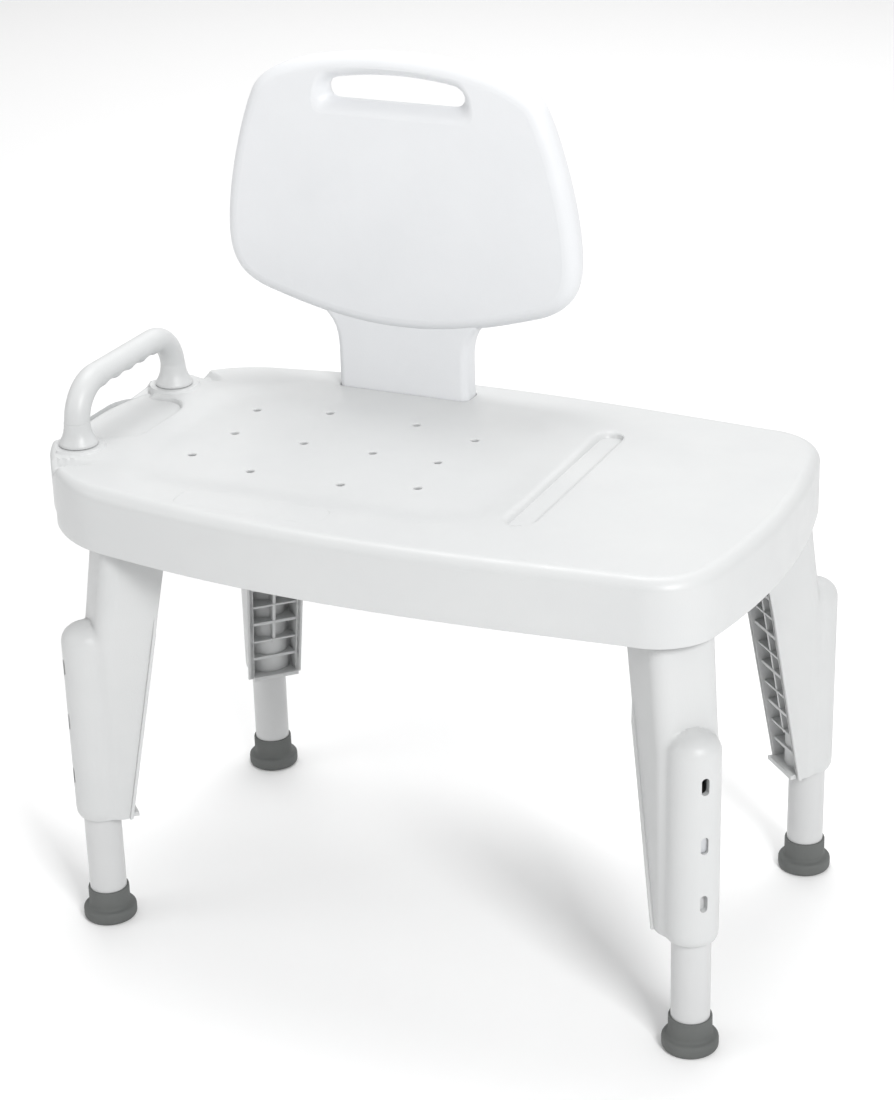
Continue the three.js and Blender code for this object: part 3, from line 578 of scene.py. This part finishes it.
def backrest_stem():
    rings = []
    flare = [(STEM_BOTTOM, 0.8), (STEM_BOTTOM + 0.8, 0), (440, 0), (478, 0), (486, -0.3), (494, -1.3),
             (501, -3.2), (507, -6.2), (512, -10), (517, -14.5), (524, -15)]
    for z, inset in flare:
        grow = max(0.0, -inset)
        shrink = max(0.0, inset)
        loop = rounded_rect(STEM_X - STEM_W / 2 - grow + shrink, STEM_X + STEM_W / 2 + grow - shrink,
                            STEM_Y0 + shrink, STEM_Y0 + STEM_T - shrink, 8, 8, WHOLE)
        rings.append(np.column_stack([loop, np.full(len(loop), z)]))
    return skin(rings, caps=(True, True))


add_piece("backrest_body", backrest_panel() + [backrest_stem()], "backrest",
          BACK_WHITE, ["backrest"])


# ---- grab handle ----
def handle_bar():
    radius, level, bend = 11.8, 498, 36
    stations = [(-HANDLE_Y, PAD_TOP + 4, math.pi / 2)]
    for a in np.linspace(0, math.pi / 2, 13):
        y, z = -HANDLE_Y + bend * (1 - math.cos(a)), level - bend * (1 - math.sin(a))
        stations.append((y, z, math.pi / 2 - a))
    span = HANDLE_Y - bend
    stations += [(y, level, 0.0) for y in np.linspace(-span, span, 66)[1:-1]]
    stations += [(-y, z, -t) for y, z, t in stations[13::-1]]
    rings = []
    a = np.arange(40) * 2 * math.pi / 40
    for y, z, travel in stations:
        reach = abs(y) / 46
        wave = abs(math.sin(reach * math.pi * 2)) if reach < 1 else 0
        r = radius - 2.4 * wave * np.maximum(0, -np.sin(a)) ** 1.5
        across, up = r * np.cos(a), r * np.sin(a)
        places = (HANDLE_X - across, y - up * math.sin(travel), z + up * math.cos(travel))
        rings.append(np.column_stack(places))
    base = [(17.2, 444.3), (18, 444.9), (18, 446.6), (17.5, 447.6), (16.2, 449.6), (14.6, 452.6),
            (13.2, 456.4), (12.3, 461), (11.9, 466)]
    return [skin(rings)] + [turned(HANDLE_X, s * HANDLE_Y, base, 56) for s in (-1, 1)]


add_piece("handle_body", handle_bar(), "bench", SEAT_WHITE, ["grab_handle"], 50)


# ---- legs ----
def leg_outer(z):
    return np.interp(z, [285, 305, 381, 419], [0, 4, 15, 15])


def leg_inner(z):
    return 73 - 0.1845 * np.maximum(0, 381 - np.asarray(z, float))


def leg_half(z):
    return np.interp(z, [COLUMN_BOTTOM, 381, 419], [25.5, 30, 30])


def leg_gap(u, v, z):
    """How far a point lies outside the leg: the shell and the tube housing, softly blended."""
    half, outer, inner = leg_half(z), leg_outer(z), 200.0
    r = 15.0
    du = np.abs(u - (outer + inner) / 2) - (inner - outer) / 2 + r
    dv = np.abs(v) - half + r
    shell = np.hypot(np.maximum(du, 0), np.maximum(dv, 0)) + np.minimum(np.maximum(du, dv), 0) - r
    radius = COLUMN_R - 1.6 * smoothstep(-z, -COLUMN_BOTTOM - 6, -COLUMN_BOTTOM)
    over = np.maximum(0, z - 286) / 19.5
    column = np.where(over < 1, np.hypot(u, v) - radius * np.sqrt(np.maximum(0, 1 - over**2.4)),
                      np.hypot(u, v) + 40 * (over - 1) + 1)
    k = 4.0
    h = np.clip(0.5 + 0.5 * (column - shell) / k, 0, 1)
    return column * (1 - h) + shell * h - k * h * (1 - h)


def leg_shell():
    levels = np.concatenate([COLUMN_BOTTOM + np.array([0, 0.4, 1.5]), np.arange(115, 284, 5.0),
                             np.arange(284, 314, 1.5), np.arange(315, 419, 6.0), [LEG_TOP]])
    columns = 90
    rings = []
    for z in levels:
        half, inner = float(leg_half(z)), float(leg_inner(z))
        middle = float(np.interp(z, [285, 320, 381], [16, 28, 42]))
        start = math.atan2(half, inner - middle)
        angles = np.linspace(start, 2 * math.pi - start, columns)
        near, far = np.zeros(columns), np.full(columns, 90.0)
        for _ in range(40):
            reach = (near + far) / 2
            inside = leg_gap(middle + reach * np.cos(angles), reach * np.sin(angles), z) < 0
            near, far = np.where(inside, reach, near), np.where(inside, far, reach)
        u, v = middle + near * np.cos(angles), near * np.sin(angles)
        u[[0, -1]], v[[0, -1]] = inner, (half, -half)
        chamfer = 0.8 * float(smoothstep(-z, -COLUMN_BOTTOM - 2, -COLUMN_BOTTOM))
        outside = np.column_stack([u + chamfer * np.sign(middle - u) * (np.abs(u - inner) > 1), v])
        wall = 3.6
        lining = resampled(leg_lining(z, inner, half - wall), 44)
        rings.append(np.column_stack([np.vstack([outside, lining]), np.full(columns + 44, z)]))
    return skin(rings)


def leg_lining(z, inner, width):
    """The inside of the shell at a height, from one open edge round to the other: it goes
    round the tube housing, or over the flat outer wall above it."""
    if z < 292:
        turn = math.asin(min(width, 20.6) / HOUSING_R)
        middle = [(HOUSING_R * math.cos(a), HOUSING_R * math.sin(a)) for a in np.linspace(-turn, turn, 25)]
        middle = [(6, -width)] * (width > 20.6) + middle + [(6, width)] * (width > 20.6)
    else:
        web, r = float(leg_outer(z)) + 4, 8
        arc = [(math.cos(a), math.sin(a)) for a in np.linspace(math.pi / 2, math.pi, 7)]
        middle = [(web + r + r * c, -width + r - r * s) for c, s in arc]
        middle += [(web + r + r * c, width - r + r * s) for c, s in arc[::-1]]
    return np.array([(inner, -width)] + middle + [(inner, width)])


def resampled(points, count):
    if points[0, 1] > points[-1, 1]:
        points = points[::-1]
    steps = np.concatenate([[0], np.cumsum(np.hypot(*np.diff(points, axis=0).T))])
    at = np.linspace(0, steps[-1], count)
    return np.column_stack([np.interp(at, steps, points[:, 0]), np.interp(at, steps, points[:, 1])])


def slot_cutter(z):
    points = []
    for a in np.linspace(0, 2 * math.pi, 25)[:-1]:
        points.append((3.5 * math.cos(a), z + math.copysign(4.5, math.sin(a)) + 3.5 * math.sin(a)))
    return skin([[(u, v, h) for v, h in points] for u in (-32, -8)])


def leg_plate(z0, z1, u_end):
    """A flat rib or floor across the inside of the leg, between its walls."""
    half = float(leg_half((z0 + z1) / 2)) - 2
    outline = [(u_end, -half), (u_end, half)]
    if z1 < 295:
        turn = math.asin(min(half, 19.5) / 20)
        outline += [(20 * math.cos(a), 20 * math.sin(a)) for a in np.linspace(turn, -turn, 15)]
    else:
        start, r = float(leg_outer(z0)) + 2, 13
        arc = [(math.cos(a), math.sin(a)) for a in np.linspace(math.pi / 2, math.pi, 7)]
        outline += [(start + r + r * c, half - r + r * s) for c, s in arc]
        outline += [(start + r + r * c, -half + r - r * s) for c, s in arc[::-1]]
    return prism(outline, z0, z1, 0.15)


def leg_inside():
    parts = []
    for z in range(132, 400, 21):
        parts.append(leg_plate(z, z + (3 if z % 42 == 6 else 2), float(leg_inner(z)) - 3))
    parts.append(leg_plate(COLUMN_BOTTOM, COLUMN_BOTTOM + 4, 30))
    parts.append(leg_plate(LEG_TOP - 4, LEG_TOP, 85))
    web = []
    for z in (150, 200, 250, 291, 296, 340, 385):
        start = 19 if z < 295 else float(leg_outer(z)) + 2
        end = float(leg_inner(z)) - 4
        web.append([(end, -1.5, z), (end, 1.5, z), (start, 1.5, z), (start, -1.5, z)])
    parts.append(skin(web))
    for side in (-1, 1):
        lip = []
        for z in np.linspace(COLUMN_BOTTOM, 312, 12):
            u, v = float(leg_inner(z)), float(leg_half(z))
            grow = 2.4 * float(smoothstep(-z, -312, -306)) + 0.1
            ring = [(u - 3, side * (v + grow)), (u - 0.5, side * (v + grow)), (u, side * (v + grow - 0.5)),
                    (u, side * (v - 3)), (u - 3, side * (v - 3))]
            ring = [(a, b, z) for a, b in ring]
            lip.append(ring[::-1] if side > 0 else ring)
        parts.append(skin(lip))
    return parts


def scratch_object(part):
    mesh = bpy.data.meshes.new("scratch")
    mesh.from_pydata(np.asarray(part[0], float).tolist(), [], [tuple(int(i) for i in f) for f in part[1]])
    thing = bpy.data.objects.new("scratch", mesh)
    bpy.context.scene.collection.objects.link(thing)
    return thing


def cut(part, cutters):
    """Cuts closed skins out of a closed skin, one after another."""
    blank = scratch_object(part)
    for cutter in cutters:
        tool = scratch_object(cutter)
        modifier = blank.modifiers.new("cut", "BOOLEAN")
        modifier.operation = "DIFFERENCE"
        modifier.solver = "EXACT"
        modifier.object = tool
        graph = bpy.context.evaluated_depsgraph_get()
        mesh = bpy.data.meshes.new_from_object(blank.evaluated_get(graph))
        blank.modifiers.clear()
        old, blank.data = blank.data, mesh
        used = tool.data
        bpy.data.objects.remove(tool)
        bpy.data.meshes.remove(used)
        bpy.data.meshes.remove(old)
    mesh = blank.data
    points = np.array([tuple(v.co) for v in mesh.vertices])
    faces = [tuple(p.vertices) for p in mesh.polygons]
    bpy.data.objects.remove(blank)
    bpy.data.meshes.remove(mesh)
    return points, faces


def mirrored(part, sx, sy):
    """A part of the front right corner, mirrored to another corner."""
    points = np.asarray(part[0], float) * (sx, -sy, 1)
    return points, [tuple(f)[::-1] if sx * sy > 0 else tuple(f) for f in part[1]]


SLOTS = [to_corner(slot_cutter(z), 1, -1) for z in HOLE_Z]
BORE = turned(FOOT_X, -FOOT_Y, [(BORE_R, 80), (BORE_R, 290)], 64)
LEG_BODY = cut(to_corner(leg_shell(), 1, -1), [BORE] + SLOTS)
TUBE = turned(FOOT_X, -FOOT_Y, [(16.4, 6.3), (17.2, 7.1), (17.2, 221.2), (16.4, 222)], 64)
TUBE_BODY = cut(TUBE, [turned(FOOT_X, -FOOT_Y, [(15.2, 0), (15.2, 240)], 64), SLOTS[1]])
TIP_PROFILE = [(21, 0), (22.6, 0.2), (24, 1), (24.8, 2.4), (25, 4), (25, 9), (24.7, 10.6), (23.8, 11.8),
               (22.4, 12.4), (21, 12.8), (20, 13.6), (19.5, 15), (19.3, 17), (19.2, 30.6), (18.9, 31.6),
               (18.2, 32), (17.5, 32), (17.5, 6)]
TIP_BODY = turned(FOOT_X, -FOOT_Y, TIP_PROFILE, 64)
for corner, (sx, sy) in CORNERS.items():
    foot = "foot_" + corner
    add_piece("leg_body_" + corner, [mirrored(LEG_BODY, sx, sy)], "bench", LEG_WHITE,
              ["leg_" + corner])
    add_piece("leg_ribs_" + corner, [to_corner(part, sx, sy) for part in leg_inside()], "bench",
              LEG_WHITE)
    add_piece("tube_body_" + corner, [mirrored(TUBE_BODY, sx, sy)], foot, TUBE_WHITE,
              ["leg_tube_" + corner])
    add_piece("tip_body_" + corner, [mirrored(TIP_BODY, sx, sy)], foot, RUBBER,
              ["rubber_tip_" + corner])

for node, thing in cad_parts.items():
    if "screw" in node or "washer" in node or "clip" in node:
        for place in thing.material_slots:
            place.material = STEEL
        thing.data.polygons.foreach_set("use_smooth", [True] * len(thing.data.polygons))


# ---- floor, light and camera ----
def plain(name, colour, rough):
    material = bpy.data.materials.new(name)
    material.use_nodes = True
    shader = material.node_tree.nodes["Principled BSDF"]
    shader.inputs["Base Color"].default_value = (*colour, 1)
    shader.inputs["Roughness"].default_value = rough
    return material


def add_floor():
    size, wall_y, rise, bend = 9.0, 7.5, 6.0, 1.5
    profile = [(-size, 0.0), (wall_y - bend, 0.0)]
    for a in np.linspace(0, math.pi / 2, 17)[1:]:
        profile.append((wall_y - bend + bend * math.sin(a), bend - bend * math.cos(a)))
    profile.append((wall_y, rise))
    points = [(x, y, z) for x in (-size, size) for y, z in profile]
    mesh = bpy.data.meshes.new("studio_floor")
    mesh.from_pydata(points, [], grid_faces(2, len(profile), closed=False))
    mesh.polygons.foreach_set("use_smooth", [True] * len(mesh.polygons))
    mesh.materials.append(plain("floor_white", (0.97, 0.97, 0.97), 0.9))
    floor = bpy.data.objects.new("studio_floor", mesh)
    bpy.context.scene.collection.objects.link(floor)


def add_lamp(name, place, target, size, watts):
    lamp = bpy.data.lights.new(name, "AREA")
    lamp.shape = "RECTANGLE"
    lamp.size, lamp.size_y = size
    lamp.energy = watts
    thing = bpy.data.objects.new(name, lamp)
    thing.location = place
    thing.rotation_euler = (Vector(target) - Vector(place)).to_track_quat("-Z", "Y").to_euler()
    bpy.context.scene.collection.objects.link(thing)


add_floor()
add_lamp("key", (2.3, -2.0, 2.4), (0, 0, 0.35), (1.0, 1.0), 78)
add_lamp("fill_left", (-2.6, -1.8, 1.6), (0, 0, 0.4), (1.6, 1.6), 14)
add_lamp("top", (-0.3, 0.6, 2.7), (0, 0, 0.4), (1.6, 1.0), 28)
add_lamp("backdrop", (-1.0, 3.0, 2.6), (-1.0, 3.0, 0), (4.0, 1.6), 34)

scene = bpy.context.scene
scene.view_settings.view_transform = "Standard"
world = bpy.data.worlds.new("studio")
world.use_nodes = True
world.node_tree.nodes["Background"].inputs["Color"].default_value = (1.0, 1.0, 1.0, 1)
world.node_tree.nodes["Background"].inputs["Strength"].default_value = 0.55
scene.world = world

AZIMUTH, ELEVATION, ROLL = (math.radians(a) for a in (24.24, 23.57, -1.26))
FRAME_W, FRAME_H = 894, 1100
FOCAL_PX, CENTRE_X, CENTRE_Y = 2599, 482.6, 555.7
back = Vector((math.sin(AZIMUTH) * math.cos(ELEVATION), -math.cos(AZIMUTH) * math.cos(ELEVATION),
               math.sin(ELEVATION)))
level = Vector((math.cos(AZIMUTH), math.sin(AZIMUTH), 0))
up = back.cross(level)
right = math.cos(ROLL) * level + math.sin(ROLL) * up
up = back.cross(right)
lens = bpy.data.cameras.new("camera")
lens.sensor_fit = "VERTICAL"
lens.sensor_height = 36
lens.lens = FOCAL_PX / FRAME_H * 36
lens.shift_x = -(CENTRE_X - FRAME_W / 2) / FRAME_H
lens.shift_y = (CENTRE_Y - FRAME_H / 2) / FRAME_H
lens.clip_end = 40
camera = bpy.data.objects.new("camera", lens)
turn = Matrix((right, up, back)).transposed().to_4x4()
camera.matrix_world = Matrix.Translation((0.9138 + FEET_MID_X, -1.9627, 1.2931)) @ turn
scene.collection.objects.link(camera)
scene.camera = camera
